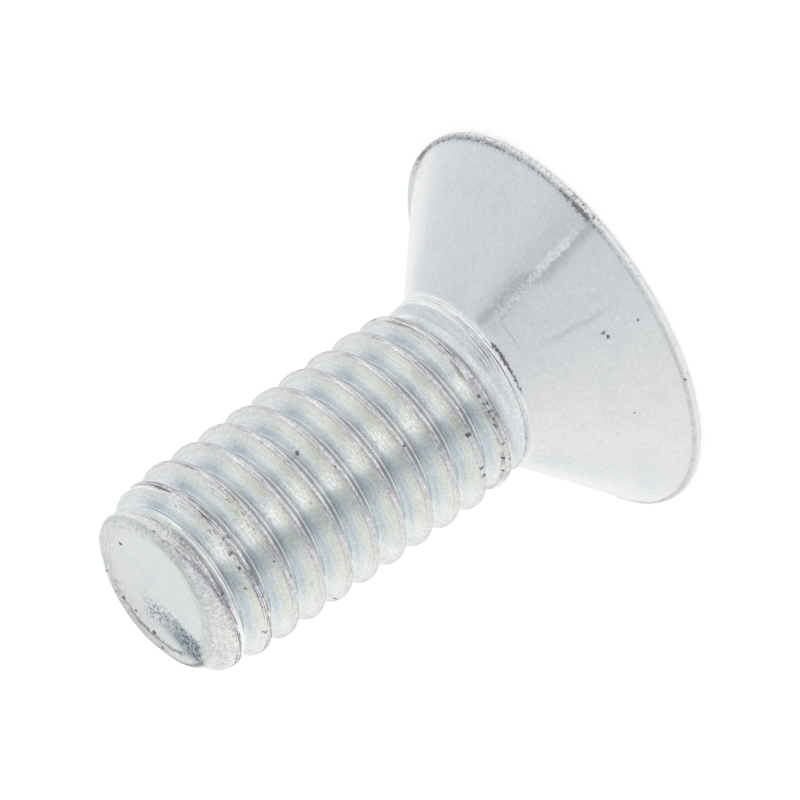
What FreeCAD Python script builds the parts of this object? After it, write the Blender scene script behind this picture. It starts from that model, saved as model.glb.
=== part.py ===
import FreeCAD, Part
import math
import os

# Countersunk machine screw, threaded up to the neck, standing on its flat head.
# Origin at the centre of the head's flat face, +Z along the axis to the tip.
# All lengths in millimetres, all angles in degrees.

# whole screw
overall_length = 12.1

# countersunk head
head_diameter = 9.7
head_angle = 90.0
land_height = 0.16
head_edge_bevel = 0.06

# hexagon socket in the head's flat face
socket_across_flats = 3.02
socket_depth = 2.2
socket_point_angle = 120.0
socket_mouth_diameter = 3.8
socket_mouth_angle = 120.0

# shank: its diameter over the thread crests, and how far below them the rest lies
crest_diameter = 4.854
neck_depth = 0.207
rolled_start_depth = 0.157
pitch_line_depth = 0.199
root_depth = 0.417

# short plain neck between the head's cone and the rolled part
neck_length = 0.14
neck_fillet_reach = 0.08

# rolled thread, which starts with a small step up from the neck
step_length = 0.06
crest_rise_length = 1.31
groove_start_distance = 1.355
run_out_length = 1.25
run_out_clearance = 0.02
pitch = 0.8
flank_angle = 60.0
groove_overshoot = 0.04

# rounded, slightly dished tip
taper_length = 1.22
taper_depth = 0.157
lip_height = 0.58
lip_width = 0.55
lip_roll_width = 0.27
lip_roll_drop = 0.07
dish_depth = 0.2

head_radius = head_diameter / 2
crest_radius = crest_diameter / 2
neck_radius = crest_radius - neck_depth
rolled_start_radius = crest_radius - rolled_start_depth
root_radius = crest_radius - root_depth
half_flank = math.radians(flank_angle / 2)
half_head = math.radians(head_angle / 2)


def point(radius, height):
    # a point of the section, which lies in the XZ plane
    return FreeCAD.Vector(radius, 0, height)


def between(start, end, share):
    # the point that divides a straight line in the given share
    return start + (end - start) * share


def arc(start, middle, end):
    return Part.Arc(start, middle, end).toShape()


def level_arc(start, level):
    # arc from a point above or below that runs out level at its second point
    width = start.x - level.x
    climb = start.z - level.z
    radius = (width ** 2 + climb ** 2) / (2 * climb)
    half_turn = math.atan2(abs(climb), abs(width))
    reach = math.copysign(radius * math.sin(half_turn), width)
    middle = point(level.x + reach, level.z + radius * (1 - math.cos(half_turn)))
    return arc(start, middle, level)


def cone_end():
    # height at which the head's cone meets the neck
    return land_height + (head_radius - neck_radius) / math.tan(half_head)


def rolled_start_height():
    # height at which the rolled part of the shank starts
    return cone_end() + neck_length + step_length


def head_edges():
    # flat face, small edge bevel, land and cone, up to where the neck fillet starts
    centre = point(0, 0)
    flat_edge = point(head_radius - head_edge_bevel, 0)
    land_start = point(head_radius, head_edge_bevel)
    land_end = point(head_radius, land_height)
    cone_foot = point(neck_radius, cone_end())
    slope = (land_end - cone_foot).normalize()
    fillet_start = cone_foot + slope * neck_fillet_reach
    flat = Part.makeLine(centre, flat_edge)
    bevel = Part.makeLine(flat_edge, land_start)
    land = Part.makeLine(land_start, land_end)
    cone = Part.makeLine(land_end, fillet_start)
    return [flat, bevel, land, cone], fillet_start


def neck_edges(fillet_start):
    # fillet from the cone into the neck, then the neck and the step up to the rolled part
    cone_foot = point(neck_radius, cone_end())
    fillet_end = point(neck_radius, cone_end() + neck_fillet_reach)
    chord_middle = between(fillet_start, fillet_end, 0.5)
    fillet_middle = between(cone_foot, chord_middle, 1 / (1 + math.cos(half_head / 2)))
    neck_top = point(neck_radius, cone_end() + neck_length)
    rolled_start = point(rolled_start_radius, rolled_start_height())
    fillet = arc(fillet_start, fillet_middle, fillet_end)
    neck = Part.makeLine(fillet_end, neck_top)
    step = Part.makeLine(neck_top, rolled_start)
    return [fillet, neck, step], rolled_start


def crest_edges(rolled_start):
    # crest line: rises to the full crest, runs straight, tapers towards the tip
    crest_start = point(crest_radius, rolled_start.z + crest_rise_length)
    shoulder = point(crest_radius - taper_depth, overall_length - lip_height)
    taper_start = point(crest_radius, shoulder.z - taper_length)
    rise = Part.makeLine(rolled_start, crest_start)
    crest = Part.makeLine(crest_start, taper_start)
    taper = Part.makeLine(taper_start, shoulder)
    return [rise, crest, taper], shoulder


def tip_edges(shoulder):
    # rounded lip that rolls over into a shallow dish
    lip_top = point(shoulder.x - lip_width, overall_length)
    lip_inner = point(lip_top.x - lip_roll_width, overall_length - lip_roll_drop)
    dish_centre = point(0, overall_length - dish_depth)
    lip = level_arc(shoulder, lip_top)
    roll = level_arc(lip_inner, lip_top)
    dish = level_arc(lip_inner, dish_centre)
    return [lip, roll, dish], dish_centre


def blank():
    # the whole screw before its thread and socket, turned about the axis
    head, fillet_start = head_edges()
    neck, rolled_start = neck_edges(fillet_start)
    crest, shoulder = crest_edges(rolled_start)
    tip, dish_centre = tip_edges(shoulder)
    axis = Part.makeLine(dish_centre, point(0, 0))
    section = Part.Face(Part.Wire(head + neck + crest + tip + [axis]))
    return section.revolve(FreeCAD.Vector(0, 0, 0), FreeCAD.Vector(0, 0, 1), 360)


def groove_width(radius):
    # full width of the groove at a radius: half a pitch on the pitch line
    above_pitch_line = radius - crest_radius + pitch_line_depth
    return pitch / 2 + above_pitch_line * 2 * math.tan(half_flank)


def groove_section():
    # one gap of the thread in the XZ plane: two flanks, a flat root, open outside the crest
    outer_radius = crest_radius + groove_overshoot
    half_root = groove_width(root_radius) / 2
    half_opening = groove_width(outer_radius) / 2
    root_low = point(root_radius, -half_root)
    root_high = point(root_radius, half_root)
    outer_high = point(outer_radius, half_opening)
    outer_low = point(outer_radius, -half_opening)
    return Part.makePolygon([root_low, root_high, outer_high, outer_low, root_low])


def thread_groove():
    # full-depth groove, right hand, from above the neck to beyond the tip
    start_height = rolled_start_height() + groove_start_distance
    length = overall_length + pitch - start_height
    helix = Part.makeLongHelix(pitch, length, crest_radius, 0, False)
    groove = Part.Wire(helix).makePipeShell([groove_section()], True, True)
    groove.translate(point(0, start_height))
    return groove


def run_out():
    # the same groove going on towards the head, lifting out of the metal as it turns
    rise = rolled_start_radius + run_out_clearance - root_radius
    lift_angle = math.degrees(math.atan(rise / run_out_length))
    helix = Part.makeHelix(pitch, run_out_length, crest_radius, lift_angle, False)
    helix.rotate(FreeCAD.Vector(0, 0, 0), FreeCAD.Vector(1, 0, 0), 180)
    groove = Part.Wire(helix).makePipeShell([groove_section()], True, True)
    groove.translate(point(0, rolled_start_height() + groove_start_distance))
    return groove


def hexagon_socket():
    # straight hexagon with a conical bottom and a countersunk mouth
    corner_radius = socket_across_flats / 2 / math.cos(math.radians(30))
    corners = []
    for number in range(7):
        turn = math.radians(60 * number)
        corner = FreeCAD.Vector(corner_radius * math.cos(turn), corner_radius * math.sin(turn), 0)
        corners.append(corner)
    outline = Part.Face(Part.makePolygon(corners))
    straight = outline.extrude(point(0, socket_depth))
    flat_radius = socket_across_flats / 2
    point_depth = flat_radius / math.tan(math.radians(socket_point_angle / 2))
    bottom = Part.makeCone(flat_radius, 0, point_depth, point(0, socket_depth))
    mouth_radius = socket_mouth_diameter / 2
    mouth_depth = mouth_radius / math.tan(math.radians(socket_mouth_angle / 2))
    mouth = Part.makeCone(mouth_radius, 0, mouth_depth)
    return straight.fuse([bottom, mouth])


def screw():
    body = blank().cut(hexagon_socket())
    body = body.cut(thread_groove())
    body = body.cut(run_out())
    return body.Solids[0]


os.makedirs("parts", exist_ok=True)
screw().exportStep("parts/screw.step")
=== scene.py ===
import math

import bpy
import numpy as np
from mathutils import Matrix, Vector


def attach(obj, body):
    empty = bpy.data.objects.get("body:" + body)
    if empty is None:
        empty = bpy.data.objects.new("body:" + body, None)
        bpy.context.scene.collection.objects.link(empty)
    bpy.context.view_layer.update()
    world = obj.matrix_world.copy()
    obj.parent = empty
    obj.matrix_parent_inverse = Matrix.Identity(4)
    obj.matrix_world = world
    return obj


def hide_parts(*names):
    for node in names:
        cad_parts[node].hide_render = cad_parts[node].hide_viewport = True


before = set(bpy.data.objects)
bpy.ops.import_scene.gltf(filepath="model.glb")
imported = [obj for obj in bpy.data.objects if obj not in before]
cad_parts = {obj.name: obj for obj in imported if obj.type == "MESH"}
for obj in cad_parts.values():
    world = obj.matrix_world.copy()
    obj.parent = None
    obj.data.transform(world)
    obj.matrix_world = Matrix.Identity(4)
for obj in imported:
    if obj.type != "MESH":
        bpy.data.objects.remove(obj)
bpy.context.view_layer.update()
print("frame loaded")


class Link:
    # one output socket; sums and products of it add Math nodes to its tree
    def __init__(self, tree, socket):
        self.tree = tree
        self.socket = socket

    def calc(self, operation, *values):
        return self.tree.make("ShaderNodeMath", {"operation": operation}, dict(enumerate(values)))

    def __add__(self, other):
        return self.calc("ADD", self, other)

    def __radd__(self, other):
        return self.calc("ADD", other, self)

    def __sub__(self, other):
        return self.calc("SUBTRACT", self, other)

    def __rsub__(self, other):
        return self.calc("SUBTRACT", other, self)

    def __mul__(self, other):
        return self.calc("MULTIPLY", self, other)

    def __rmul__(self, other):
        return self.calc("MULTIPLY", other, self)

    def __truediv__(self, other):
        return self.calc("DIVIDE", self, other)

    def __pow__(self, other):
        return self.calc("POWER", self, other)

    def step(self, low, high):
        # 0 below low, 1 above high, smooth between
        sockets = {"Value": self, "From Min": low, "From Max": high}
        return self.tree.make("ShaderNodeMapRange", {"interpolation_type": "SMOOTHSTEP"}, sockets)


class Tree:
    def __init__(self, nodeTree):
        self.nodes = nodeTree.nodes
        self.links = nodeTree.links

    def make(self, kind, settings=None, sockets=None, output=0):
        # adds a node: its settings first, then the values or links of its sockets
        node = self.nodes.new(kind)
        for name, value in (settings or {}).items():
            if name == "stops":
                self.setStops(node.color_ramp, value)
            else:
                setattr(node, name, value)
        for name, value in (sockets or {}).items():
            if isinstance(value, Link):
                self.links.new(value.socket, node.inputs[name])
            else:
                node.inputs[name].default_value = value
        return Link(self, node.outputs[output]) if node.outputs else None

    def setStops(self, ramp, stops):
        while len(ramp.elements) < len(stops):
            ramp.elements.new(1.0)
        for element, (place, colour) in zip(ramp.elements, stops):
            element.position = place
            element.color = (*colour, 1.0)

    def mixColour(self, factor, first, second, blend="MIX"):
        settings = {"data_type": "RGBA", "blend_type": blend}
        sidesLight = [end if isinstance(end, Link) else (*end, 1.0) for end in (first, second)]
        return self.make("ShaderNodeMix", settings, {0: factor, 6: sidesLight[0], 7: sidesLight[1]}, 2)

    def combine(self, x, y, z):
        return self.make("ShaderNodeCombineXYZ", {}, {0: x, 1: y, 2: z})

    def vector(self, operation, first, second, output=0):
        settings = {"operation": operation}
        return self.make("ShaderNodeVectorMath", settings, {0: first, 1: second}, output)

    def scaled(self, vector, factor):
        sockets = {0: vector, "Scale": factor}
        return self.make("ShaderNodeVectorMath", {"operation": "SCALE"}, sockets)

    def specks(self, vector, scale, share, size, ragged):
        # spots round the centres of a share of the cells; ragged is added to their distance
        apart = self.make("ShaderNodeTexVoronoi", {}, {"Vector": vector, "Scale": scale})
        colour = Link(self, apart.socket.node.outputs[1])
        chance = self.make("ShaderNodeSeparateXYZ", {}, {0: colour}, 0)
        return chance.step(1 - share, 1.01 - share) * (1 - (apart + ragged).step(size * 0.55, size))

    def noise(self, vector, scale, detail=2.0, roughness=0.5):
        sockets = {"Vector": vector, "Scale": scale, "Detail": detail, "Roughness": roughness}
        return self.make("ShaderNodeTexNoise", {}, sockets)


cameraView = {
    "target": (0.454, 0.0, 4.437),  # mm, centre of the picture
    "pictureWidth": 17.98,  # mm at the target
    "distance": 0.5,  # m
    "elevation": 24.88,  # degrees above the floor
    "roll": -124.34,  # the screw stands, so the camera leans with the photograph
    "sensorWidth": 36,  # mm
    "clip": (0.01, 20),  # m
}


def addCamera(values):
    lift = math.radians(values["elevation"])
    roll = math.radians(values["roll"])
    back = Vector((0, -math.cos(lift), math.sin(lift)))
    levelUp = Vector((0, math.sin(lift), math.cos(lift)))
    levelRight = Vector((1, 0, 0))
    right = levelRight * math.cos(roll) + levelUp * math.sin(roll)
    up = levelUp * math.cos(roll) - levelRight * math.sin(roll)
    data = bpy.data.cameras.new("camera")
    data.sensor_width = values["sensorWidth"]
    data.lens = values["sensorWidth"] * values["distance"] / (values["pictureWidth"] / 1000)
    data.clip_start, data.clip_end = values["clip"]
    camera = bpy.data.objects.new("camera", data)
    bpy.context.collection.objects.link(camera)
    place = Matrix((right, up, back)).transposed().to_4x4()
    place.translation = Vector(values["target"]) / 1000 + back * values["distance"]
    camera.matrix_world = place
    bpy.context.scene.camera = camera


addCamera(cameraView)
bpy.context.scene.view_settings.view_transform = "Standard"
print("camera placed")


tent = {
    "level": (0.80, 0.82, 0.84),  # even light from all round
    # soft areas of the tent: direction, how narrow, strength and tint
    "areas": [
        ((-0.75, 0.65, 0.10), 2.2, 0.13, (1.0, 0.97, 0.90)),
        ((-0.78, 0.20, 0.60), 4.0, 0.08, (1.0, 0.75, 0.20)),
        ((0.0, 0.09, 1.0), 110.0, 0.25, (1.0, 0.99, 0.95)),
        ((0.44, 0.35, 0.83), 9.0, 0.12, (1.0, 1.0, 0.98)),
        ((0.46, -0.29, 0.85), 130.0, -0.34, (1.0, 1.0, 1.0)),
        ((0.0, 0.57, 0.82), 40.0, -0.14, (0.85, 1.0, 0.92)),
        ((0.0, -0.50, 0.87), 12.0, -0.07, (1.0, 0.95, 0.9)),
        ((0.76, 0.22, 0.60), 7.0, -0.09, (1.0, 0.98, 0.94)),
        ((0.60, 0.78, 0.15), 6.0, 0.03, (1.0, 0.85, 0.60)),
    ],
    "backdrop": (1.0, 1.0, 1.0),
}


def lightTent(values):
    # each area adds or takes away strength * exp((cosine of the angle from it - 1) * narrow)
    world = bpy.data.worlds.new("lightTent")
    world.use_nodes = True
    world.node_tree.nodes.clear()
    bpy.context.scene.world = world
    tree = Tree(world.node_tree)
    direction = tree.make("ShaderNodeTexCoord")
    total = values["level"]
    for toward, narrow, strength, tint in values["areas"]:
        centre = tuple(Vector(toward).normalized())
        closeness = tree.vector("DOT_PRODUCT", direction, centre, 1)
        glow = closeness.calc("EXPONENT", (closeness - 1) * narrow)
        colour = tuple(part * abs(strength) for part in tint)
        blend = "ADD" if strength > 0 else "SUBTRACT"
        total = tree.mixColour(glow, total, colour, blend)
    lit = tree.make("ShaderNodeBackground", {}, {"Color": total, "Strength": 1.0})
    plain = tree.make("ShaderNodeBackground", {}, {"Color": (*values["backdrop"], 1.0)})
    seen = tree.make("ShaderNodeLightPath")
    both = tree.make("ShaderNodeMixShader", {}, {0: seen, 1: lit, 2: plain})
    tree.make("ShaderNodeOutputWorld", {}, {"Surface": both})


lightTent(tent)
print("light set")


floorLook = {
    "halfWidth": 2.0,  # m
    "height": -0.00001,
    "colour": (0.55, 0.545, 0.54),
    "roughness": 0.9,
    "gloss": 0.1,
    "glow": 0.58,  # lit a little from below, as a light table
}


def addFloor(values):
    half = values["halfWidth"]
    corners = [(-half, -half), (half, -half), (half, half), (-half, half)]
    mesh = bpy.data.meshes.new("floor")
    mesh.from_pydata([(x, y, values["height"]) for x, y in corners], [], [(0, 1, 2, 3)])
    material = bpy.data.materials.new("paleFloor")
    material.use_nodes = True
    shader = material.node_tree.nodes["Principled BSDF"]
    look = {"Base Color": (*values["colour"], 1.0), "Roughness": values["roughness"]}
    look.update({"Specular IOR Level": values["gloss"], "Emission Strength": values["glow"]})
    look["Emission Color"] = (1.0, 1.0, 1.0, 1.0)
    for name, value in look.items():
        shader.inputs[name].default_value = value
    mesh.materials.append(material)
    floor = bpy.data.objects.new("floor", mesh)
    bpy.context.collection.objects.link(floor)


addFloor(floorLook)
print("floor laid")


# the screw is worked out in millimetres, and the mesh is filled in metres

grid = {
    "columns": 300,
    "rowsPerPitch": 20,  # columns must be a multiple of this
    # mm from a groove's centre, close together at the root and at the crest's edges
    "rowsAcross": [0, 0.03, 0.065, 0.105, 0.15, 0.20, 0.25, 0.285, 0.305, 0.325, 0.4],
    "sharpAngle": 38,  # degrees, above which an edge isn't shaded round
}

head = {
    "rimRadius": 4.85,
    "bevel": 0.06,
    "faceRings": [2.0, 2.5, 3.1, 3.7, 4.3, 4.65, 4.76],
    "landTop": 0.16,
    "landExtra": 0.10,  # the land is this much wider on the far +X side
    "landExtraToward": 32,  # degrees
    "landExtraWidth": 0.42,  # radians to either side
    "coneInset": 0.035,  # small shoulder where the cone leaves the land
    "coneSetBack": 0.02,
    "coneRings": 35,
    "neckRadius": 2.21,
    "neckHeights": [2.9, 2.93],
    "filletReach": 0.08,
    "filletSlant": 0.7071,  # share of the reach that it takes on the cone
    "stepRadius": 2.235,
    "stepHeight": 2.96,
    "unevenness": 0.0035,
}

socket = {
    "acrossFlats": 3.02,
    "depth": 2.2,
    "mouthRadius": 1.9,
    "slope": 60,  # degrees from the axis, of the bottom and of the mouth
}

thread = {
    "pitch": 0.8,
    "flankAngle": 30,  # degrees, half of the gap
    # crest line: heights and radii, from the step at the neck to the tip
    "crestHeights": [2.99, 4.30, 10.35, 10.75, 11.15, 11.60],
    "crestRadii": [2.258, 2.415, 2.415, 2.39, 2.29, 2.275],
    "grooveCentre": 4.345,  # height of one groove on the +X side
    "rootCentre": 1.818,
    "rootRound": 0.17,
    "crestRound": 0.02,
    "crestRoll": 0.05,  # softer edge on the side that faces the head
    "firstCrestRoll": 0.10,  # and on the other side of the first crest
    "firstCrestEnd": (3.2, 3.6),
    "lastCrestRound": 0.03,
    "lastCrestFrom": 11.2,
    "runOutFrom": 3.9,
    "runOutLift": 0.28,  # how fast the root rises towards the head, per mm
    "runOutBlend": 0.3,
    "runOutRound": 3.6,  # how much rounder the root gets for each mm that it has risen
    "offset": -0.066,  # the rolled part runs this far off centre, towards -X
    "rows": (3.02, 11.83),
}

tip = {
    "blankTop": (1.80, 12.1),  # radius and height of the wire's own end, past the rolled part
    "blankRound": (0.18, 0.22),
    "rolledEnd": 11.92,
    "rolledEndTilt": 0.16,  # it ends lower on the +X side
    "taperFrom": 11.3,
    "taperTilt": 0.15,
    "taperSag": 0.3,  # it starts lower on the near side
    "taperDrop": 0.30,
    "taperPower": 2.4,
    "taperBlend": 0.03,
    "rollRadius": 1.49,
    "dishShift": -0.19,  # the dish lies off centre, towards -Y
    "rollHeight": 12.03,
    "dishHeight": 11.90,
    "wobble": 0.019,
}

wear = {
    "seed": 11,
    "crestNicks": 90,
    "rimNicks": 34,
    "lipNicks": 40,
    "firstCrest": 4.745,  # height of one crest on the +X side
    "crestRadius": 2.4,
    "nickReach": 0.12,  # how far below a crest or rim a nick goes
    "threadUnevenness": 0.004,
    "waves": 14,
}


def smoothStep(low, high, value):
    # s * s * (3 - 2 * s), where s is the clipped share of the way from low to high
    share = np.clip((value - low) / (high - low), 0, 1)
    return share * share * (3 - 2 * share)


def softMin(first, second, width):
    # lower of two surfaces; within the width of where they cross, their mix by share s
    # less width * s * (1 - s)
    share = np.clip(0.5 + 0.5 * (second - first) / width, 0, 1)
    return second + (first - second) * share - width * share * (1 - share)


def softMax(first, second, width):
    return -softMin(-first, -second, width)


def wave(turn, height, seed, finest, perMillimetre):
    # sum of cos(lobes * turn + along * height + phase) over seeded draws, with whole lobes so
    # that it closes round the axis, scaled to about -1 to 1
    random = np.random.default_rng(seed)
    total = np.zeros(np.broadcast(turn, height).shape)
    for _ in range(wear["waves"]):
        lobes = random.integers(0, finest + 1)
        along = random.normal(0, perMillimetre)
        total += np.cos(lobes * turn + along * height + random.uniform(0, 2 * math.pi))
    return total / wear["waves"] ** 0.5 / 1.4


def crestLine(turn, height):
    # radius over the crests: the table's, less drop * share ^ power from a tilted line up to
    # the rolled part's end, and never below the wire's own rounded end
    straight = np.interp(height, thread["crestHeights"], thread["crestRadii"])
    sag = tip["taperSag"] * np.minimum(0, np.sin(turn))
    begin = tip["taperFrom"] - tip["taperTilt"] * np.cos(turn) + sag
    end = tip["rolledEnd"] - tip["rolledEndTilt"] * np.cos(turn)
    share = np.clip((height - begin) / (end - begin), 0, 1.6)
    rolled = straight - tip["taperDrop"] * share ** tip["taperPower"]
    return softMax(rolled, blankEnd(height), tip["taperBlend"])


def blankEnd(height):
    # upper quarter of a superellipse of power 3: straight wall with a rounded corner on top
    width, rise = tip["blankRound"]
    radius, top = tip["blankTop"]
    up = np.clip((height - top + rise) / rise, 0, 1)
    return radius + width * (1 - up ** 3) ** (1 / 3)


def grooveRadius(turn, height):
    # hyperbola sqrt(rounding ^ 2 + (across / tan 30) ^ 2) over the distance across from the
    # nearest groove centre, on a helix; the root rises towards the head. Also gives across
    pitch = thread["pitch"]
    along = (height - thread["grooveCentre"]) / pitch - turn / (2 * math.pi)
    across = (along - np.round(along)) * pitch
    centre = height - across
    rise = softMax(thread["runOutFrom"] - centre, 0.0, thread["runOutBlend"])
    lift = rise * thread["runOutLift"]
    rounding = thread["rootRound"] + lift * thread["runOutRound"]
    slope = math.tan(math.radians(thread["flankAngle"]))
    flank = np.sqrt(rounding ** 2 + (across / slope) ** 2)
    return thread["rootCentre"] + lift + flank - (rounding - thread["rootRound"]), across


def shankRadius(turn, height):
    # lower of the groove and the crest line, rounded where they cross
    groove, across = grooveRadius(turn, height)
    crest = crestLine(turn, height)
    rounding = thread["crestRound"] + thread["crestRoll"] * smoothStep(0.0, 0.2, across)
    onFirst = (1 - smoothStep(*thread["firstCrestEnd"], height)) * (across < 0)
    rounding = rounding + thread["firstCrestRoll"] * onFirst
    rounding = np.where(height > thread["lastCrestFrom"], thread["lastCrestRound"], rounding)
    return softMin(groove, crest, rounding)


def hexagonRadius(turn):
    # half the width across flats over the cosine of the angle from the nearest flat's middle
    beside = np.mod(turn, math.pi / 3) - math.pi / 6
    return socket["acrossFlats"] / 2 / np.cos(beside)


def ringRows(radii, heights, turn):
    # rows of level rings: each radius and height, the same at every angle
    return np.outer(radii, np.ones_like(turn)), np.outer(heights, np.ones_like(turn))


def socketRows(turn):
    # conical bottom, hexagonal wall and the countersunk mouth, from the pole outwards: on the
    # cones height changes by radius / tan(slope), and the mouth starts on the hexagon
    flat = socket["acrossFlats"] / 2
    slope = math.tan(math.radians(socket["slope"]))
    inner = flat * np.array([0.25, 0.5, 0.75, 0.985])
    cone = ringRows(inner, socket["depth"] + (flat - inner) / slope, turn)
    corner = hexagonRadius(turn)
    mouthHeight = (socket["mouthRadius"] - corner) / slope
    down = np.array([0.0, 0.04, 0.35, 0.65, 0.97, 1.0])[:, None]
    wall = (np.ones_like(down) * corner, socket["depth"] * (1 - down) + mouthHeight * down)
    out = np.array([0.5, 1.0])[:, None]
    mouthRadii = corner * (1 - out) + socket["mouthRadius"] * out
    mouth = (mouthRadii, (socket["mouthRadius"] - mouthRadii) / slope)
    return [cone, wall, mouth]


def headRows(turn):
    # flat face, bevelled edge, land, cone, fillet, neck and the step of the rolled part; the
    # cone falls 1 mm in radius for each mm of height, and the land's extra height goes as
    # exp(-(angle from its side / width) ^ 4)
    rim, bevel = head["rimRadius"], head["bevel"]
    rings = np.array(head["faceRings"])
    face = ringRows(rings, np.zeros(len(rings)), turn)
    across = np.linspace(0, 1, 3)
    edge = ringRows(rim - bevel * (1 - across), bevel * across, turn)
    fromSide = np.mod(turn - math.radians(head["landExtraToward"]) + math.pi, 2 * math.pi) - math.pi
    landTop = head["landTop"] + head["landExtra"] * np.exp(-(fromSide / head["landExtraWidth"]) ** 4)
    land = (np.full((2, len(turn)), rim), np.stack([landTop * 0.7, landTop]))
    inset, reach = head["coneInset"], head["filletReach"]
    slant = reach * head["filletSlant"]
    footShade = head["neckRadius"] + slant
    down = np.linspace(0, 1, head["coneRings"])[:, None]
    coneStart = rim - inset - head["coneSetBack"] - (landTop - head["landTop"])
    coneRadii = coneStart + (footShade - coneStart) * down
    cone = (coneRadii, head["landTop"] + rim - inset - coneRadii)
    bend = np.array([0.33, 0.66, 1.0])
    coneTop = head["landTop"] + rim - inset - head["neckRadius"]
    filletRadii = head["neckRadius"] + slant * (1 - bend) ** 1.7
    filletFrom, filletTo = coneTop - slant, coneTop + reach
    fillet = ringRows(filletRadii, filletFrom + (filletTo - filletFrom) * bend, turn)
    neck = ringRows([head["neckRadius"]] * 2, head["neckHeights"], turn)
    startRadius, start = thread["crestRadii"][0], thread["crestHeights"][0]
    stepRadii = [head["stepRadius"], startRadius - 0.003, startRadius]
    step = ringRows(stepRadii, [head["stepHeight"], start - 0.006, start + 0.004], turn)
    return [face, edge, land, cone, fillet, neck, step]


def tipRows(turn, lastHeight):
    # end of the rolled part and of its groove, the wire's rounded end, the roll, which falls
    # with the square of the way inwards, and the dish, a parabola
    topRadius, top = tip["blankTop"]
    upward = lastHeight + (top - lastHeight) * (1 - (1 - np.linspace(0, 1, 13)[1:-1]) ** 1.7)
    heights = np.outer(upward, np.ones_like(turn))
    lip = (shankRadius(turn[None, :], heights), heights)
    edge = ringRows([topRadius + 0.05, topRadius], [top - 0.004, top], turn)
    inward = np.linspace(0, 1, 6)[1:]
    rollRadii = topRadius - (topRadius - tip["rollRadius"]) * inward
    roll = ringRows(rollRadii, top - (top - tip["rollHeight"]) * inward ** 2, turn)
    dishRadii = tip["rollRadius"] * np.linspace(1, 0, 14)[1:-1]
    hollow = (tip["rollHeight"] - tip["dishHeight"]) * (dishRadii / tip["rollRadius"]) ** 2
    dish = ringRows(dishRadii, tip["dishHeight"] + hollow, turn)
    return [lip, edge, roll, dish]


def rowPlaces(rows):
    # how many pitches up each row lies: whole turns plus the share from the table, which is
    # mirrored about the crest
    half = np.array(grid["rowsAcross"]) / thread["pitch"]
    places = np.concatenate([half, 1 - half[-2:0:-1]])
    turns = np.floor_divide(rows, grid["rowsPerPitch"])
    return places[np.mod(rows, grid["rowsPerPitch"])] + turns


def threadRows(turn, sector):
    # rows follow the groove, height = centre + pitch * (place + turn / full circle); a row
    # drops to the next one below at each sector, so that it closes level
    pitch = thread["pitch"]
    low, high = thread["rows"]
    first = int(math.floor((low - thread["grooveCentre"]) / pitch * grid["rowsPerPitch"]))
    last = int(math.ceil((high - thread["grooveCentre"]) / pitch * grid["rowsPerPitch"]))
    rows = np.arange(first, last + 1)[:, None] - sector[None, :]
    heights = thread["grooveCentre"] + pitch * (rowPlaces(rows) + turn / (2 * math.pi))
    return shankRadius(turn[None, :], heights), heights


def aroundAngle(turn, centre):
    # signed angle from a direction, in degrees
    return np.degrees(np.mod(turn - math.radians(centre) + math.pi, 2 * math.pi) - math.pi)


def drawNicks(random):
    # angle, height, width in degrees, height and depth in mm of the nicks in crests and rim
    nicks = []
    for _ in range(wear["crestNicks"]):
        turned = random.uniform(-180, 180)
        turns = random.integers(-1, 9) + turned / 360
        height = wear["firstCrest"] + thread["pitch"] * turns + random.normal(0, 0.03)
        nicks.append((turned, height, random.uniform(0.8, 2.4), 0.03, random.uniform(0.006, 0.03)))
    for _ in range(wear["rimNicks"]):
        turned = random.uniform(-180, 180)
        height = random.choice([0.02, 0.16])
        nicks.append((turned, height, random.uniform(0.8, 2.0), 0.04, random.uniform(0.008, 0.03)))
    return nicks


def wearDown(turn, radii, heights):
    # takes depth * exp(-(angle / width) ^ 2 - (height / tall) ^ 2) off crests and rim for each
    # nick, the same off the lip, and adds waves; also gives how strongly each point is marked
    random = np.random.default_rng(wear["seed"])
    marked = np.zeros_like(radii)
    outside = (radii > 1.7) & (radii < 4.9) & (heights < 11.4)
    for turned, height, wide, tall, deep in drawNicks(random):
        near = np.exp(-(aroundAngle(turn, turned) / wide) ** 2 - ((heights - height) / tall) ** 2)
        ridge = head["rimRadius"] if height < 1 else wear["crestRadius"]
        near = near * outside * (np.abs(radii - ridge) < wear["nickReach"])
        radii = radii - deep * near
        marked = np.maximum(marked, near * min(1.0, deep / 0.02))
    for _ in range(wear["lipNicks"]):
        turned, across = random.uniform(-180, 180), random.uniform(1.65, 2.05)
        wide, deep = random.uniform(1.5, 5.0), random.uniform(0.01, 0.055)
        near = np.exp(-(aroundAngle(turn, turned) / wide) ** 2 - ((radii - across) / 0.07) ** 2)
        near = near * (heights > 11.7)
        heights = heights - deep * near
        marked = np.maximum(marked, near * min(0.35, deep / 0.08))
    atTip = smoothStep(11.3, 11.9, heights) * smoothStep(1.0, 1.6, radii)
    heights = heights + tip["wobble"] * wave(turn, radii, 3, 9, 3.0) * atTip
    atEdge = atTip * smoothStep(1.7, 1.9, radii)
    radii = radii + tip["wobble"] * wave(turn, heights, 4, 12, 6.0) * atEdge
    rolled = smoothStep(3.0, 3.2, heights) * (1 - smoothStep(11.3, 11.7, heights))
    radii = radii + wear["threadUnevenness"] * wave(turn, heights, 5, 16, 9.0) * rolled
    onCone = smoothStep(2.3, 2.6, radii) * (1 - smoothStep(4.6, 4.8, radii)) * (heights > 0.05)
    heights = heights - head["unevenness"] * wave(turn, radii, 6, 14, 4.0) * onCone
    return radii, heights, marked


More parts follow.
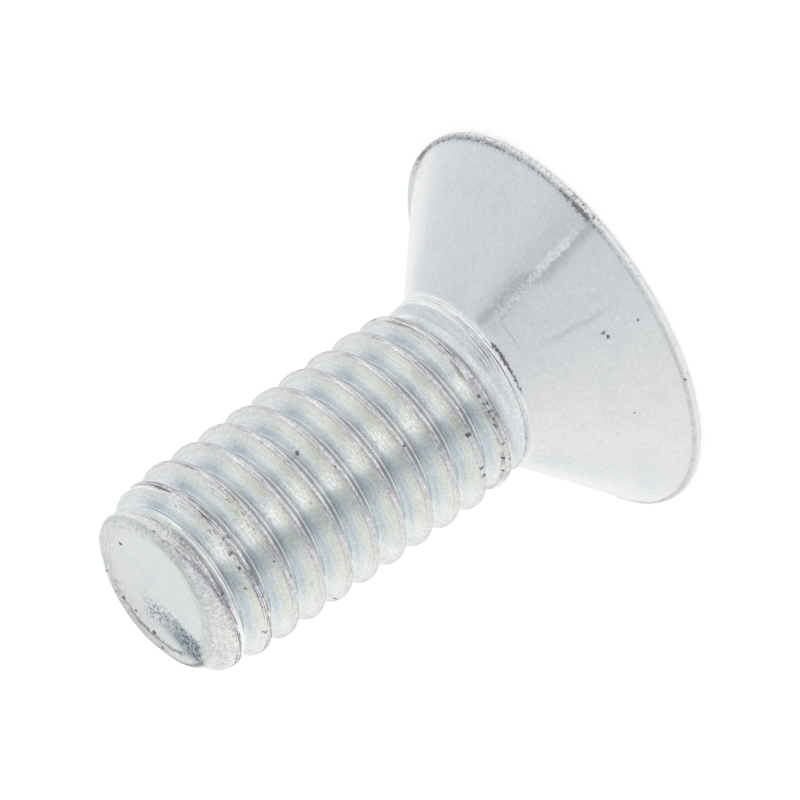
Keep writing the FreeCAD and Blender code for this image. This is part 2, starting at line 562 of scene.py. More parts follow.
def weave(rowCount, columns, jumps, firstRow, lastRow):
    # faces of the grid as lists: each point with its right, upper right and upper neighbour,
    # and at each jump of the thread rows one slanted column, closed by a triangle at each end
    index = np.arange(rowCount * columns).reshape(rowCount, columns)
    beside = np.roll(index, -1, axis=1)
    plain = np.stack([index[:-1], beside[:-1], beside[1:], index[1:]], axis=-1)
    keep = np.ones((rowCount - 1, columns), dtype=bool)
    keep[firstRow:lastRow, jumps] = False
    rows = np.arange(firstRow, lastRow - 1)[:, None]
    column = jumps[None, :]
    lower = [index[rows, column], beside[rows + 1, column]]
    upper = [beside[rows + 2, column], index[rows + 1, column]]
    slanted = np.stack(lower + upper, axis=-1).reshape(-1, 4)
    low = [index[firstRow, jumps], beside[firstRow, jumps], beside[firstRow + 1, jumps]]
    high = [index[lastRow - 1, jumps], beside[lastRow, jumps], index[lastRow, jumps]]
    sidesLight = np.concatenate([np.stack(low, axis=-1), np.stack(high, axis=-1)])
    return np.concatenate([plain[keep], slanted]).tolist(), sidesLight.tolist()


def shiftedPoints(turn, radii, heights, innerRows):
    # x = radius * cos(turn) and y = radius * sin(turn), with the dish moved off centre and
    # the rolled part too, and one more point for each pole
    x = radii * np.cos(turn)
    y = radii * np.sin(turn)
    isInner = np.arange(len(radii))[:, None] >= len(radii) - innerRows
    inward = 1 - smoothStep(tip["rollRadius"], tip["blankTop"][0], radii)
    y = y + tip["dishShift"] * inward * isInner
    start = thread["crestHeights"][0]
    rolled = smoothStep(start - 0.25, start + 0.35, heights) * (1 - smoothStep(11.85, 12.0, heights))
    x = x + thread["offset"] * rolled
    points = np.stack([x, y, heights], axis=-1).reshape(-1, 3)
    slope = math.tan(math.radians(socket["slope"]))
    poleLow = (0.0, 0.0, socket["depth"] + socket["acrossFlats"] / 2 / slope)
    poleHigh = (0.0, tip["dishShift"], tip["dishHeight"])
    return np.concatenate([points, [poleLow, poleHigh]])


def buildScrew():
    columns = grid["columns"]
    turn = np.arange(columns) / columns * 2 * math.pi
    sector = np.arange(columns) // (columns // grid["rowsPerPitch"])
    below = socketRows(turn) + headRows(turn)
    middle = threadRows(turn, sector)
    above = tipRows(turn, middle[1][-1].max() + 0.03)
    parts = below + [middle] + above
    radii = np.concatenate([part[0] for part in parts])
    heights = np.concatenate([part[1] for part in parts])
    firstRow = sum(len(part[0]) for part in below)
    lastRow = firstRow + len(middle[0]) - 1
    jumps = np.flatnonzero(np.roll(sector, -1) != sector)
    quads, triangles = weave(len(radii), columns, jumps, firstRow, lastRow)
    phase = grooveRadius(turn[None, :], heights)[1] / thread["pitch"] * 2 * math.pi
    radii, heights, marked = wearDown(turn, radii, heights)
    innerRows = 1 + len(above[-2][0]) + len(above[-1][0])
    points = shiftedPoints(turn, radii, heights, innerRows) / 1000
    count = len(radii) * columns
    ring = np.arange(columns)
    ringNext = np.roll(ring, -1)
    lowFan = np.stack([np.full(columns, count), ringNext, ring], axis=-1)
    top = (len(radii) - 1) * columns
    highFan = np.stack([top + ring, top + ringNext, np.full(columns, count + 1)], axis=-1)
    faces = quads + triangles + lowFan.tolist() + highFan.tolist()
    mesh = bpy.data.meshes.new("screwBody")
    mesh.from_pydata(points.tolist(), [], faces)
    layers = {"grooveSine": np.sin(phase), "grooveCosine": np.cos(phase), "marked": marked}
    for name, values in layers.items():
        layer = mesh.attributes.new(name, "FLOAT", "POINT")
        withPoles = np.append(values.ravel(), values[0, 0] * np.ones(2))
        layer.data.foreach_set("value", withPoles.astype(np.float32))
    mesh.shade_smooth()
    mesh.set_sharp_from_angle(angle=math.radians(grid["sharpAngle"]))
    mesh.validate()
    body = bpy.data.objects.new("screwBody", mesh)
    bpy.context.collection.objects.link(body)
    triangleCount = len(quads) * 2 + len(triangles) + 2 * columns
    print("screw mesh:", triangleCount, "triangles")
    return body


zones = {
    # soft steps in height, in mm: where a part of the surface begins, and where it ends
    "thread": ((2.95, 3.1), (11.6, 11.9)),
    "neck": ((2.75, 2.86), (3.05, 3.2)),
    "cone": ((0.17, 0.26), (2.72, 2.80)),
    "deepGroove": ((3.45, 3.9), (11.78, 11.88)),
    "landEnd": (0.17, 0.27),
    "lip": (11.55, 11.85),
    "lipRadius": (1.35, 1.7),
    "neckToFlank": (3.25, 3.55),
    "crestStart": (3.2, 3.45),
    "lastTurnEnd": (3.95, 4.15),
    "wornStart": (9.4, 11.4),
    "tipStart": (11.5, 11.8),
}

zinc = {
    # from the groove's root up the flank to the crest; bluer at the root as the plating's tint, and
    # darker there as painted shade
    "flankTints": [
        (0.0, (0.61, 0.68, 0.72)),
        (0.30, (0.70, 0.75, 0.755)),
        (0.62, (0.78, 0.79, 0.74)),
        (0.86, (0.79, 0.79, 0.755)),
        (1.0, (0.76, 0.755, 0.74)),
    ],
    "yellowTint": (0.87, 0.84, 0.64),
    "crestTint": (0.665, 0.65, 0.68),
    "headwardLightTint": (0.92, 0.93, 0.93),
    "sideLightTint": (0.93, 0.93, 0.93),
    "footShadeTint": (0.50, 0.50, 0.53),
    "darkReflectionTint": (0.25, 0.31, 0.34),
    "blueTint": (0.28, 0.38, 0.46),
    "flankHighlightTint": (1.0, 1.0, 0.97),
    "highlightDashTint": (1.0, 1.0, 0.99),
    "streakDark": (0.34, 0.33, 0.37),
    "streakLight": (1.0, 0.99, 1.0),
    "neckTint": (0.77, 0.79, 0.79),
    "valleyTint": (0.62, 0.64, 0.66),
    "coneTint": (0.785, 0.795, 0.805),
    "tipTint": (0.81, 0.82, 0.81),
    "dishShadeTint": (0.07, 0.13, 0.18),
    "coolTint": (0.68, 0.71, 0.76),  # broad cooler and smaller warmer places all over
    "warmTint": (0.90, 0.90, 0.87),
    "grimeTint": (0.125, 0.12, 0.13),  # dirt and oxide, and painted shade, which don't shine
    "glintTint": (0.86, 0.87, 0.88),  # painted highlight: a white line in the thread's root, which glows a little
    "glintGlow": (0.20, 0.205, 0.21),
    "roughness": 0.24,
    "bumpDepth": 0.000008,  # m
    # single pits seen on the screw: centres in mm, by radius
    "pits": {
        0.055: [
            (0.767, -1.86, 8.14), (-0.694, -2.234, 3.771), (0.99, 1.53, 12.05), (0.285, 1.6, 12.06),
            (-0.74, 1.33, 12.08),
        ],
        0.028: [
            (0.044, -2.4, 7.802),
        ],
        0.03: [
            (0.737, -2.057, 4.35), (-1.248, -1.629, 7.962), (-1.072, -4.353, 0.494),
            (-1.061, -1.942, 11.088), (0.943, -2.146, 10.935), (1.336, -1.721, 11.254),
            (-0.05, -2.4, 9.442), (-0.93, -2.163, 10.22), (-1.454, -1.938, 9.992),
            (-2.772, -2.729, 1.112), (-0.192, -2.367, 11.102), (-0.595, -2.31, 11.022),
            (-1.052, -2.078, 11.201), (-1.123, -2.043, 11.153), (1.453, -1.727, 11.316),
            (1.31, -1.843, 11.285), (-0.199, -2.406, 9.468), (-2.026, -1.332, 11.039),
        ],
        0.035: [
            (-0.342, -2.39, 4.426), (-0.312, -2.357, 11.081), (-0.479, -2.334, 11.074),
            (-0.799, -2.254, 11.043), (-2.148, -1.132, 10.917), (-1.418, -1.995, 9.996),
            (1.143, -1.593, 11.988), (0.806, -1.8, 12.031), (-0.866, -1.996, 11.652),
        ],
        0.07: [
            (-1.053, -2.183, 4.54),
        ],
        0.06: [
            (-1.671, -1.608, 6.487), (-1.81, -1.612, 4.453), (-1.978, -1.402, 4.439),
        ],
        0.045: [
            (0.718, -2.255, 3.926), (-0.48, -2.3, 3.868), (-1.211, -2.006, 3.769),
            (-1.922, -1.339, 3.761), (-0.988, -3.781, 1.076), (-0.344, -2.394, 9.458),
        ],
        0.05: [
            (-0.873, -2.171, 3.77), (-1.623, -1.685, 3.732), (-1.042, -2.098, 3.758),
            (-2.39, 0.171, 8.436), (1.317, 0.246, 12.014), (-1.12, 1.39, 12.09),
        ],
        0.04: [
            (-2.147, -0.922, 3.741), (-0.443, -2.383, 6.09), (-0.882, -3.774, 1.113),
            (-0.237, -2.28, 11.055), (-0.611, -2.235, 11.059), (-2.353, -0.583, 7.568),
            (-2.091, -1.068, 10.91), (-2.775, -3.949, 0.18), (-0.087, 1.473, 12.043),
            (1.149, -1.651, 11.985), (-0.931, -2.023, 11.235), (-0.059, -2.41, 9.486),
            (-2.016, -0.0, 11.692),
        ],
    },
}

coneLook = {
    "turned": 72.4,  # degrees, of the forging seam up the cone
    "fainterTurned": 97.0,
    "shade": (0.40, 0.42, 0.49),
    "light": (0.96, 0.97, 0.98),
    "grainLight": (0.95, 0.95, 0.97),
    "fainterShade": (0.40, 0.41, 0.48),
    "ringHeight": 2.45,
    "ringShade": (0.36, 0.37, 0.42),
    "mottleTint": (0.93, 0.93, 0.92),
    "speckTint": (0.50, 0.50, 0.52),
    "neckLineHeight": 2.86,
    "neckLineTint": (0.56, 0.57, 0.60),
    "creviceShadowHeight": 2.79,
    "turnedDark": (0.30, 0.31, 0.34),
    "turnedLight": (0.95, 0.95, 0.96),
}

tipLook = {
    "farLipTint": (0.44, 0.43, 0.40),
    "greenReflectionTint": (0.42, 0.55, 0.49),
    "lilacReflectionTint": (0.50, 0.43, 0.50),
    "foldShadeTint": (0.36, 0.31, 0.36),
    "shadeFrom": (0.0, 1.09),  # x and y where the dark patch starts, mm
    "shadeAcross": 1.13,
    "shadeToward": (-0.835, -0.55),
    "shadeLength": 2.036,
}


def nearLine(across, width):
    # 1 on a line, falling smoothly to 0 at the given distance either side
    return 1 - across.calc("ABSOLUTE", across).step(0.0, width)


def nearAngle(angle, toward, width):
    # 1 on the side of the screw at an angle from +X, 0 from the given degrees away
    return nearLine(angle - toward, width)


def between(value, rise, fall):
    # 1 between two soft steps, 0 outside them
    return value.step(*rise) * (1 - value.step(*fall))


def drawnNoise(tree, at, share, third, scale, detail, roughness):
    # noise drawn out round the axis, by taking only a share of x and y
    vector = tree.combine(at["x"] * share, at["y"] * share, third)
    return tree.noise(vector, scale, detail, roughness)


def readSurface(tree):
    # places, noises and zones of the screw that the colours are made from, in mm and degrees
    at = {}
    place = tree.scaled(tree.make("ShaderNodeTexCoord", {}, {}, 3), 1000.0)
    x, y, z = [tree.make("ShaderNodeSeparateXYZ", {}, {0: place}, axis) for axis in range(3)]
    names = ("grooveSine", "grooveCosine", "marked")
    read = [tree.make("ShaderNodeAttribute", {"attribute_name": name}, {}, 2) for name in names]
    sine, cosine, at["marked"] = read
    # distance from the groove's centre, above 0 on the flank that faces the head
    across = sine.calc("ARCTAN2", sine, cosine) * (thread["pitch"] / 2 / math.pi)
    at.update(place=place, x=x, y=y, z=z, across=across)
    at["radius"] = (x * x + y * y) ** 0.5
    at["angle"] = y.calc("ARCTAN2", y, x) * (180 / math.pi)
    at["fine"] = tree.noise(place, 22.0, 4.0, 0.65)
    at["grain"] = tree.noise(place, 13.0, 6.0, 0.8)
    at["medium"] = tree.noise(place, 7.0, 4.0, 0.6)
    at["broad"] = tree.noise(place, 1.7, 3.0)
    # along the thread, as rolling leaves it, and level round the axis
    at["rolled"] = drawnNoise(tree, at, 0.5, across * 15.0, 2.4, 4.0, 0.7)
    at["dashes"] = drawnNoise(tree, at, 1.6, across * 13.0, 3.0, 3.0, 0.65)
    at["turned"] = drawnNoise(tree, at, 0.35, z * 9.0, 2.4, 3.0, 0.6)
    at["wander"] = at["angle"] + (at["broad"] - 0.5) * 14.0
    at["onThread"] = between(z, *zones["thread"])
    at["onNeck"] = between(z, *zones["neck"])
    at["onCone"] = between(z, *zones["cone"])
    at["onLand"] = 1 - z.step(*zones["landEnd"])
    at["onLip"] = z.step(*zones["lip"]) * at["radius"].step(*zones["lipRadius"])
    at["aside"] = across.calc("ABSOLUTE", across)
    at["height"] = (at["aside"] - 0.06) / 0.27
    at["lastTurn"] = 1 - z.step(*zones["lastTurnEnd"])
    at["crest"] = (at["aside"] + at["lastTurn"] * 0.08).step(0.28, 0.34) * at["onThread"]
    at["crest"] = at["crest"] * z.step(*zones["crestStart"])
    # how worn: most at the tip, then along the crests of the side that was handled
    at["worn"] = 0.8 * z.step(*zones["wornStart"]) + 0.5 * nearAngle(at["angle"], -85.0, 75.0)
    at["grime"] = z * 0.0
    return at


def addGrimeAndShade(at, mask, most=0.95):
    # one dark mask that holds both real dirt and painted shade
    at["grime"] = mask.calc("MAXIMUM", at["grime"], mask.calc("MINIMUM", mask, most))


def flankColour(tree, at, values):
    # zinc from root to crest, yellower or greyer in places, with painted light on the head-facing
    # flank, at the sides and in near-side stripes and dashes, and painted shade and dark reflections
    # near the root and in stripes
    onThread, across, angle, height = at["onThread"], at["across"], at["angle"], at["height"]
    crest, wander, broad = at["crest"], at["wander"], at["broad"]
    uneven = height + (at["medium"] - 0.5) * 0.30
    flank = tree.make("ShaderNodeValToRGB", {"stops": values["flankTints"]}, {"Fac": uneven})
    yellow = broad.step(0.46, 0.60) * height.step(0.25, 0.6) * (1 - crest)
    yellow = yellow * nearAngle(angle, -85.0, 60.0)
    flank = tree.mixColour(yellow * 0.48, flank, values["yellowTint"])
    lilac = at["aside"].step(0.315, 0.365) * onThread * (1 - nearAngle(angle, -152.0, 42.0) * 0.7)
    lilac = lilac * (0.9 - nearAngle(angle, -55.0, 32.0) * 0.45)
    flank = tree.mixColour(lilac, flank, values["crestTint"])
    # painted light: the flank that faces the head made lighter, so that the next flank, which mirrors
    # it, looks brighter
    headwardLight = between(across, (0.04, 0.10), (0.31, 0.36)) * onThread
    flank = tree.mixColour(headwardLight * 0.85, flank, values["headwardLightTint"])
    # painted light: the flanks lighter towards the sides near 0 and -180 degrees
    sidesLight = nearAngle(angle, -10.0, 28.0) + nearAngle(angle, -172.0, 30.0)
    sidesLight = sidesLight * onThread * (1 - crest * 0.7)
    flank = tree.mixColour(sidesLight * 0.7, flank, values["sideLightTint"])
    nearSide = nearAngle(angle, -90.0, 52.0).step(0.0, 0.6)
    # painted shade: the flank greyer near the root on the near side
    footShade = nearLine(across + 0.015, 0.075) * nearSide * onThread
    flank = tree.mixColour(footShade * 0.6, flank, values["footShadeTint"])
    # painted dark reflection: darker stripes along the thread at about -112 and -127 degrees
    darkReflection = nearAngle(wander, -112.5, 16.0) * onThread * (0.30 + crest * 0.05)
    darkReflection = darkReflection + nearAngle(wander, -127.0, 12.0) * onThread * (1 - crest) * 0.07
    flank = tree.mixColour(darkReflection, flank, values["darkReflectionTint"])
    bluish = nearAngle(wander, -37.0, 14.0) * onThread * (1 - height.step(0.35, 0.75))
    flank = tree.mixColour(bluish * 0.18, flank, values["blueTint"])
    # painted highlights: lighter stripes on the flanks at about -92 and -58 degrees
    paintedLight = nearAngle(wander, -92.0, 14.0) * at["grain"].step(0.36, 0.54) * 1.45
    paintedLight = paintedLight + nearAngle(wander, -58.0, 18.0) * 0.45
    flank = tree.mixColour(paintedLight * onThread * (1 - crest) * 0.5, flank, values["flankHighlightTint"])
    # painted highlight: bright dashes on the flanks round -88 degrees
    highlightDashes = (1 - at["dashes"].step(0.36, 0.45)) * nearAngle(wander, -88.0, 20.0)
    highlightDashes = highlightDashes * onThread * (1 - crest)
    return tree.mixColour(highlightDashes * 0.75, flank, values["highlightDashTint"])


def threadLines(at):
    # painted light and shade on the near side: a glowing white line and a dark line in the root, and
    # a dark band under the crest; dark crest edges, partly dirt and partly painted dark reflection;
    # and worn dashes
    across, angle, wander, rolled = at["across"], at["angle"], at["wander"], at["rolled"]
    crest, dashes, grain, z = at["crest"], at["dashes"], at["grain"], at["z"]
    deep = between(z, *zones["deepGroove"])
    uneven = across + (at["medium"] - 0.5) * 0.03
    # painted highlight: a bright line in the root on the near side, drawn with a white shader that
    # glows
    paintedGlint = nearLine(uneven - 0.092, 0.062) * deep * nearAngle(angle, -98.0, 52.0).step(0.0, 0.5)
    at["glint"] = paintedGlint * (0.42 + rolled.step(0.38, 0.52) * 0.52)
    streaked = rolled.step(0.42, 0.54)
    # painted shade: a dark line along the root, on the near side only
    rootShade = nearAngle(angle, -90.0, 46.0).step(0.0, 0.8) * deep
    rootShade = rootShade * (0.10 + streaked * 0.35 + grain.step(0.40, 0.58) * 0.40)
    rootShade = rootShade * (1.12 - angle.step(-86.0, -68.0) * 0.5)
    addGrimeAndShade(at, nearLine(uneven + 0.002, 0.050) * rootShade)
    # painted shade: a dark band on the flank just under the crest's edge, on the near side
    underCrestShade = between(across, (0.225, 0.290), (0.320, 0.365)) * deep
    underCrestShade = underCrestShade * nearAngle(angle, -90.0, 48.0).step(0.0, 0.6)
    underCrestShade = underCrestShade * (1 - 0.75 * angle.step(-73.0, -60.0))
    underCrestShade = underCrestShade * (0.45 + 0.55 * angle.step(-121.0, -108.0))
    addGrimeAndShade(at, underCrestShade * (0.28 + 0.52 * rolled))
    # the crest's edge towards the tip, a dark line that is partly dirt and partly painted dark
    # reflection, strongest on the near side; its line drifts a little across the near side
    edge = nearLine(uneven + 0.346 - (angle + 90.0) * 0.0012, 0.036) * deep
    edge = edge * (streaked * 0.40 + 0.22)
    addGrimeAndShade(at, edge * (0.15 + nearAngle(angle, -95.0, 36.0) * 1.1))
    farEdge = nearLine(uneven - 0.335, 0.030) * deep * nearAngle(angle, -22.0, 50.0).step(0.0, 0.5)
    addGrimeAndShade(at, farEdge * (grain.step(0.40, 0.60) * 0.5 + 0.2))
    firstTurns = 0.7 + z.step(9.8, 10.6) * 0.6
    addGrimeAndShade(at, rolled.step(0.55, 0.60) * crest * at["worn"] * firstTurns * 0.8)
    spread = at["aside"].step(0.18, 0.30) * z.step(9.9, 10.5)
    spread = spread * nearAngle(angle, -85.0, 48.0).step(0.0, 0.5)
    addGrimeAndShade(at, dashes.step(0.54, 0.60) * spread * at["onThread"] * 0.75)
    atTop = rolled.step(0.50, 0.56) * nearAngle(angle, -13.0, 15.0) * crest
    addGrimeAndShade(at, atTop * at["medium"].step(0.45, 0.60) * 0.6)
    dark = dashes.step(0.58, 0.66) * nearAngle(wander, -88.0, 26.0) * at["onThread"] * (1 - crest)
    addGrimeAndShade(at, dark * (0.30 + z.step(10.0, 11.0) * 0.3))


def threadColour(tree, at, values):
    # flanks and crests with light and dark streaks along the crests, and the neck below them
    flank = flankColour(tree, at, values)
    streaks = at["crest"] * (0.55 + at["worn"] * 0.45 + at["lastTurn"] * 0.4)
    darkStreaks = at["rolled"].step(0.49, 0.55) * streaks
    flank = tree.mixColour(darkStreaks * 0.8, flank, values["streakDark"])
    lightStreaks = (1 - at["rolled"].step(0.41, 0.46)) * streaks
    flank = tree.mixColour(lightStreaks, flank, values["streakLight"])
    threadLines(at)
    valley = nearLine(at["across"] + 0.02, 0.16) * at["z"].step(3.05, 3.2)
    neck = tree.mixColour(valley * 0.7, values["neckTint"], values["valleyTint"])
    return tree.mixColour(at["z"].step(*zones["neckToFlank"]), neck, flank)


def acrossSeam(at, turned, uneven):
    # distance from a line up the cone's near side at the given turn, in mm
    turn = math.radians(turned)
    return at["y"] * math.cos(turn) + at["x"] * math.sin(turn) + uneven


def coneColour(tree, at, values, colour):
    # forging seam up the cone with its shadow, a fainter line and a short fine ring
    onCone, grain, medium, broad = at["onCone"], at["grain"], at["medium"], at["broad"]
    nearness = at["y"] * -1
    across = acrossSeam(at, values["turned"], (medium - 0.5) * 0.30)
    onSeam = onCone * between(nearness, (1.6, 2.1), (4.0, 4.4))
    outer = nearness.step(2.9, 3.6)
    shade = nearLine(across - 0.20 + outer * 0.38, 0.26) * onCone * nearness.step(1.6, 2.1)
    colour = tree.mixColour(shade * 0.40, colour, values["shade"])
    ridge = nearLine(across, 0.11 + outer * 0.05).step(0.1, 0.6) * onSeam
    ridge = ridge * at["fine"].step(0.34, 0.50) * (0.25 + outer * 0.65)
    colour = tree.mixColour(ridge, colour, values["light"])
    rough = nearLine(across, 0.27) * onSeam * (1 - outer * 0.8)
    addGrimeAndShade(at, rough * (1 - grain.step(0.36, 0.48)) * 0.55)
    colour = tree.mixColour(rough * grain.step(0.52, 0.66) * 0.6, colour, values["grainLight"])
    mottled = onCone * medium.step(0.50, 0.72) * broad.step(0.35, 0.6)
    colour = tree.mixColour(mottled * 0.28, colour, values["mottleTint"])
    specked = onCone * grain.step(0.57, 0.68) * broad.step(0.48, 0.62)
    colour = tree.mixColour(specked * 0.35, colour, values["speckTint"])
    fainterAcross = acrossSeam(at, values["fainterTurned"], (broad - 0.5) * 0.25)
    fainter = nearLine(fainterAcross, 0.13) * onCone * between(nearness, (2.5, 3.2), (3.9, 4.3))
    colour = tree.mixColour(fainter * (0.14 + grain * 0.22), colour, values["fainterShade"])
    ring = nearLine(at["z"] - values["ringHeight"], 0.03) * nearAngle(at["angle"], -84.0, 14.0)
    return tree.mixColour(ring * 0.45, colour, values["ringShade"])


def neckColour(tree, at, values, colour):
    # a line at the neck's foot, painted shadow in the crevice there and turning marks on the neck
    z, angle, turned, onNeck = at["z"], at["angle"], at["turned"], at["onNeck"]
    line = nearLine(z - values["neckLineHeight"], 0.06)
    colour = tree.mixColour(line * 0.4, colour, values["neckLineTint"])
    # painted shadow in the crevice at the neck's foot, widest on the near side
    taper = between(angle, (-121.0, -79.0), (-86.0, -79.0))
    ragged = z - values["creviceShadowHeight"] + (at["grain"] - 0.5) * 0.24
    creviceShadow = nearLine(ragged, 0.02 + taper * 0.06) * taper.step(0.0, 0.08)
    addGrimeAndShade(at, creviceShadow * (0.4 + at["fine"].step(0.36, 0.48) * 0.6) * 1.3, 0.97)
    near = 0.35 + nearAngle(angle, -80.0, 35.0) * 0.65
    dark = turned.step(0.50, 0.57) * onNeck * near
    colour = tree.mixColour(dark * 0.65, colour, values["turnedDark"])
    smudge = nearAngle(angle, -85.0, 13.0) * between(z, (2.95, 3.1), (3.25, 3.45))
    addGrimeAndShade(at, smudge * turned.step(0.44, 0.56) * 0.45)
    light = (1 - turned.step(0.38, 0.46)) * onNeck * near
    return tree.mixColour(light * 0.5, colour, values["turnedLight"])


def rimGrime(at):
    # brown-grey scuffs on the land, most on the far and upper side, and a dark line on its edge
    angle, grain, z = at["angle"], at["grain"], at["z"]
    worst = nearAngle(angle, -69.0, 11.0) * 1.6 + nearAngle(angle, 14.0, 12.0) * 1.2
    scuffing = nearAngle(angle, -25.0, 80.0) * 0.8 + worst + 0.10
    addGrimeAndShade(at, grain.step(0.50, 0.58) * (1 - z.step(0.20, 0.32)) * scuffing * 0.75, 0.85)
    broken = at["medium"].step(0.40, 0.55) * 0.3 + grain.step(0.44, 0.56) * 0.4 + 0.12
    addGrimeAndShade(at, nearLine(z - 0.20, 0.055) * broken * (scuffing + 0.35), 0.85)


def lipColour(tree, at, values, colour):
    # lip a little darker and browner all round, most on the far side; painted reflections as a
    # greenish and a lilac band on the near side; painted shade in a fold and its crease; and broken
    # lines on its far edge
    z, angle, grain, medium = at["z"], at["angle"], at["grain"], at["medium"]
    far = nearAngle(angle, 92.0, 70.0)
    near = nearAngle(angle, -82.0, 62.0)
    # the lip a little darker and browner, most on the far side
    colour = tree.mixColour(at["onLip"] * (0.05 + far * 0.36), colour, values["farLipTint"])
    outside = at["radius"].step(1.72, 1.80)
    # painted reflection: a greenish band where the dish starts, on the near side
    greenReflection = z.step(11.99, 12.03) * outside * near
    colour = tree.mixColour(greenReflection * 0.42, colour, values["greenReflectionTint"])
    # painted dark reflection: a lilac band outside it
    lilac = between(z, (11.80, 11.86), (11.98, 12.02)) * outside * near
    colour = tree.mixColour(lilac * 0.32, colour, values["lilacReflectionTint"])
    creaseHeight = 11.80 + (angle + 100.0) * 0.0048 + (medium - 0.5) * 0.06
    # painted shade along a fold in the lip, and a darker line in its crease
    foldShade = nearLine(z - creaseHeight, 0.085) * outside * nearAngle(angle, -102.0, 42.0).step(0.0, 0.6)
    colour = tree.mixColour(foldShade * 0.6, colour, values["foldShadeTint"])
    creaseShade = nearLine(z - creaseHeight, 0.035) * outside * near
    addGrimeAndShade(at, creaseShade * medium.step(0.40, 0.52) * 0.55)
    inner = nearLine(at["radius"] - 1.60 + (medium - 0.5) * 0.30, 0.06) * z.step(11.85, 11.95)
    inner = inner * nearAngle(angle, 122.0, 52.0).step(0.0, 0.4)
    addGrimeAndShade(at, inner * (grain.step(0.36, 0.52) * 0.6 + 0.25))
    farther = nearAngle(angle, 118.0, 100.0).step(0.0, 0.4)
    outline = nearLine(at["radius"] - 1.92, 0.09) * z.step(11.85, 11.95) * (0.15 + farther * 0.85)
    addGrimeAndShade(at, outline * (grain.step(0.40, 0.55) * 0.6 + 0.15))
    return colour


def dishShade(tree, at, values, colour, dishShadeTint):
    # painted shade and dark reflection on the far slope of the dish: a dark patch, solid at one end,
    # ragged at the other
    x, y, grain = at["x"], at["y"], at["grain"]
    (fromX, fromY), (towardX, towardY) = values["shadeFrom"], values["shadeToward"]
    along = ((x - fromX) * towardX + (y - fromY) * towardY) / values["shadeLength"]
    beside = x * -towardY - (y - values["shadeAcross"]) * -towardX + (grain - 0.5) * 0.60
    patch = nearLine(beside, 0.50).step(0.0, 0.75) * (1 - along.step(0.98, 1.12))
    patch = patch * at["z"].step(11.8, 11.9)
    solid = along.step(0.20, 0.70) * (0.48 + (1 - grain.step(0.42, 0.56)) * 0.5)
    broken = along.step(-0.05, 0.20) * (1 - grain.step(0.43, 0.52)) * 0.7
    return tree.mixColour(patch * solid.calc("MAXIMUM", solid, broken), colour, dishShadeTint)


def pitsIn(tree, at, values):
    # dark specks where the screw is worn, on its nicks and at the single pits
    z, angle, grain, place = at["z"], at["angle"], at["grain"], at["place"]
    ragged = (at["fine"] - 0.5) * 0.35
    lastHeight = 3.745 + (angle + 90.0) * (thread["pitch"] / 360)
    lastCrest = nearLine(z - lastHeight, 0.14) * nearAngle(angle, -110.0, 75.0).step(0.0, 0.4)
    many = at["crest"] * at["worn"] * 0.9 + at["onLip"] * 0.25 + at["onLand"] * 0.5 + lastCrest
    pits = tree.specks(place, 9.0, 0.55, 0.26, ragged) * many.calc("MINIMUM", many, 1.0) * 0.85
    coarse = tree.specks(place, 6.0, 0.60, 0.27, ragged)
    firstCrests = z.step(10.1, 10.6) * at["crest"] * nearAngle(angle, -90.0, 80.0).step(0.0, 0.4)
    coarse = coarse * lastCrest.calc("MAXIMUM", lastCrest, firstCrests * 0.8) * 0.9
    few = tree.specks(place, 3.1, 0.10, 0.10, ragged * 0.4) * (0.2 + at["onThread"] * 0.3)
    for more in (coarse, few, at["marked"] * grain.step(0.35, 0.6) * 0.7):
        pits = pits.calc("MAXIMUM", pits, more)
    uneven = (grain - 0.5) * 0.24
    for pitRadius, centres in values["pits"].items():
        closest = 99.0
        for centre in centres:
            apart = tree.vector("DISTANCE", place, centre, 1)
            closest = apart.calc("MINIMUM", apart, closest)
        spots = 1 - (closest + uneven).step(pitRadius * 0.65, pitRadius * 1.35)
        pits = pits.calc("MAXIMUM", pits, spots)
    return pits


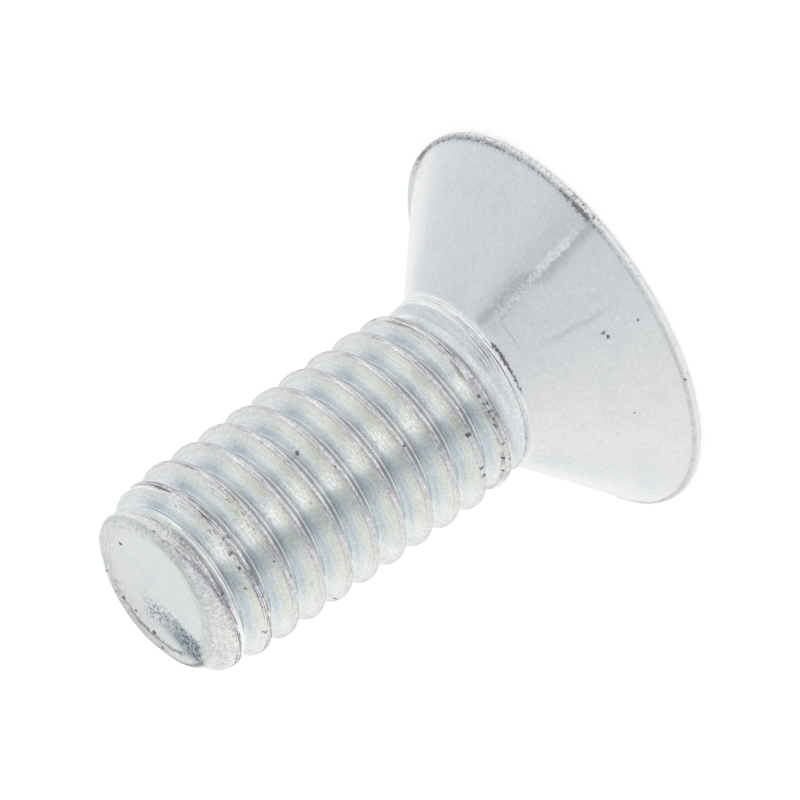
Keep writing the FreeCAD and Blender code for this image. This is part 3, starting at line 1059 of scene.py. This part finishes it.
def zincMaterial(values):
    material = bpy.data.materials.new("zincPlate")
    material.use_nodes = True
    material.node_tree.nodes.clear()
    tree = Tree(material.node_tree)
    at = readSurface(tree)
    plain = tree.mixColour(at["z"].step(*zones["tipStart"]), values["coneTint"], values["tipTint"])
    colour = tree.mixColour(at["onThread"], plain, threadColour(tree, at, values))
    colour = tree.mixColour(at["broad"].step(0.45, 0.75) * 0.35, colour, values["coolTint"])
    colour = tree.mixColour(at["medium"].step(0.52, 0.8) * 0.30, colour, values["warmTint"])
    colour = coneColour(tree, at, coneLook, colour)
    colour = neckColour(tree, at, coneLook, colour)
    colour = lipColour(tree, at, tipLook, colour)
    colour = dishShade(tree, at, tipLook, colour, values["dishShadeTint"])
    rimGrime(at)
    addGrimeAndShade(at, pitsIn(tree, at, values))

    # light and dark grain of the plating, stronger where it is worn
    rough = at["onThread"] * 0.10 + at["crest"] * (0.20 + at["worn"] * 0.45)
    rough = rough + at["onLip"] * 0.6 + at["onNeck"] * 0.1
    grey = tree.combine(at["grain"], at["grain"], at["grain"])
    colour = tree.mixColour(rough + 0.17, colour, grey, "LINEAR_LIGHT")
    streak = tree.combine(at["rolled"], at["rolled"], at["rolled"])
    colour = tree.mixColour(at["onThread"] * 0.16, colour, streak, "LINEAR_LIGHT")

    roughness = at["medium"] * 0.14 + (values["roughness"] - 0.07)
    roughness = roughness + at["crest"] * 0.14 + at["onLip"] * 0.12
    bumps = at["grain"] * (rough * 2.0 + 0.4) + at["medium"] * 0.5
    bump = {"Strength": 1.0, "Distance": values["bumpDepth"], "Height": bumps}
    normal = tree.make("ShaderNodeBump", {}, bump)
    plate = {"Base Color": colour, "Metallic": 1.0, "Roughness": roughness, "Normal": normal}
    metal = tree.make("ShaderNodeBsdfPrincipled", {}, plate)
    # painted highlight: white, glowing shader for the bright line in the root
    glintLook = {"Base Color": (*values["glintTint"], 1.0), "Roughness": 0.6}
    glintLook.update({"Emission Color": (*values["glintGlow"], 1.0), "Emission Strength": 1.0})
    paintedGlint = tree.make("ShaderNodeBsdfPrincipled", {}, glintLook)
    grimeAndShadeLook = {"Base Color": (*values["grimeTint"], 1.0), "Roughness": 0.8, "Specular IOR Level": 0.15}
    grime = tree.make("ShaderNodeBsdfPrincipled", {}, grimeAndShadeLook)
    light = tree.make("ShaderNodeMixShader", {}, {0: at["glint"], 1: metal, 2: paintedGlint})
    both = tree.make("ShaderNodeMixShader", {}, {0: at["grime"], 1: light, 2: grime})
    tree.make("ShaderNodeOutputMaterial", {}, {"Surface": both})
    return material


body = buildScrew()
body.data.materials.append(zincMaterial(zinc))
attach(body, "root")
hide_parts("screw")
print("screw built")
